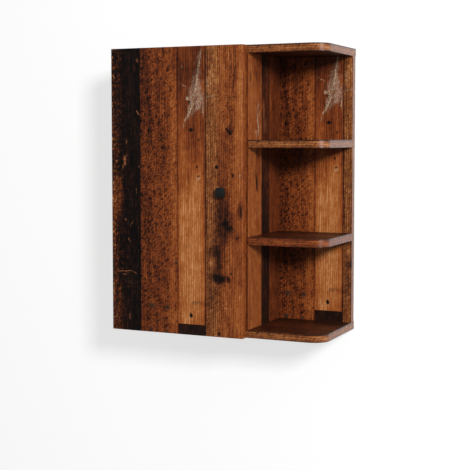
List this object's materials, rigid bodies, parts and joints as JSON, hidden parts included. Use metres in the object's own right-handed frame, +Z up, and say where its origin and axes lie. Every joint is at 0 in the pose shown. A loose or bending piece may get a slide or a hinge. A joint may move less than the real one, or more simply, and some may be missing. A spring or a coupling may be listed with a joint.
{
  "type": "wall cabinet",
  "caption": "Hanging wall cabinet of plank-printed chipboard: a closed bay behind a full overlay door with a small square knob, beside an open bay with rounded fixed shelves.",
  "frame": {"origin": "on the wall plane, on the line that the two hangers hook on (40 mm below the top), midway across the width", "axes": "+X to the right, +Y into the wall, +Z up"},
  "size_m": [0.476, 0.227, 0.6],
  "materials": {
    "board_decor": "printed plank decor on chipboard, satin",
    "door_decor": "printed plank decor on chipboard, satin",
    "thin_back": "lacquered hardboard, matt",
    "zinc_fittings": "zinc plated",
    "hinge_steel": "nickel plated",
    "beech": "bare beech",
    "cap_plastic": "moulded, matt",
    "knob_black": "black powder coat, satin",
    "clear_bumper": "translucent soft plastic"
  },
  "bodies": {
    "cabinet": {"adjustable_shelf": "board_decor", "bottom_panel": "board_decor", "cam_bolts": "zinc_fittings", "cam_locks": "zinc_fittings", "confirmat_screws": "zinc_fittings", "divider_panel": "board_decor", "dowels": "beech", "hanger_screws": "zinc_fittings", "hanging_rail": "board_decor", "hinge_clamp_screws": "hinge_steel", "hinge_plate_screws": "hinge_steel", "left_hanger_plate": "zinc_fittings", "left_side_panel": "board_decor", "lower_hinge_arm": "hinge_steel", "lower_hinge_plate": "hinge_steel", "lower_open_shelf": "board_decor", "open_back_board": "board_decor", "right_hanger_plate": "zinc_fittings", "screw_caps": "cap_plastic", "shelf_pins": "zinc_fittings", "thin_back_panel": "thin_back", "top_panel": "board_decor", "upper_hinge_arm": "hinge_steel", "upper_hinge_plate": "hinge_steel", "upper_open_shelf": "board_decor"},
    "door": {"door_bumpers": "clear_bumper", "door_knob": "knob_black", "door_panel": "door_decor", "hinge_cup_screws": "hinge_steel", "hinge_pins": "hinge_steel", "knob_screw": "zinc_fittings", "lower_hinge_cup": "hinge_steel", "upper_hinge_cup": "hinge_steel"}
  },
  "joints": [
    {"name": "door_hinge", "type": "hinge", "parent": "cabinet", "child": "door", "pos_m": [-0.232, -0.2052, -0.26], "axis": [0, 0, -1], "range_deg": [0, 95]}
  ]
}
